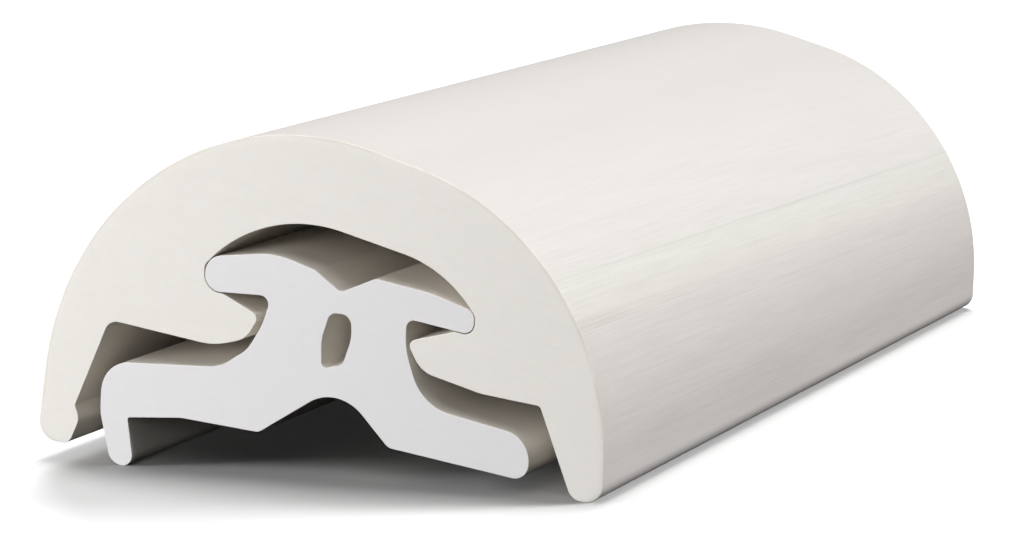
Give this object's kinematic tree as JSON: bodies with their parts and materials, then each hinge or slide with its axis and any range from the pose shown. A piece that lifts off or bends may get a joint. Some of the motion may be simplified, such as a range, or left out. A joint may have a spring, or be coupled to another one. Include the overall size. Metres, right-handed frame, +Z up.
{
  "type": "fender profile",
  "caption": "Short sample of a D-section boat or dock fender rail: a flexible cover clipped over the T-shaped head of a rigid base rail, both cut square.",
  "frame": {"origin": "centre of the sample's footprint box on the level floor", "axes": "+Y along the extrusion towards the far cut end, +X to the right as seen at the near cut end, +Z up. The section leans about 5.7 degrees to the right about +Y, because it stands on the base rail's left lip and the cover's right foot"},
  "size_m": [0.065, 0.111, 0.0352],
  "materials": {
    "base_rail": "cool white rigid PVC, extruded, satin, with a sawn end",
    "cover": "warm ivory flexible PVC, extruded, satin with fine lengthwise streaks, with a sawn end"
  },
  "bodies": {
    "root": {"base_rail": "base_rail", "cover": "cover"}
  },
  "joints": []
}
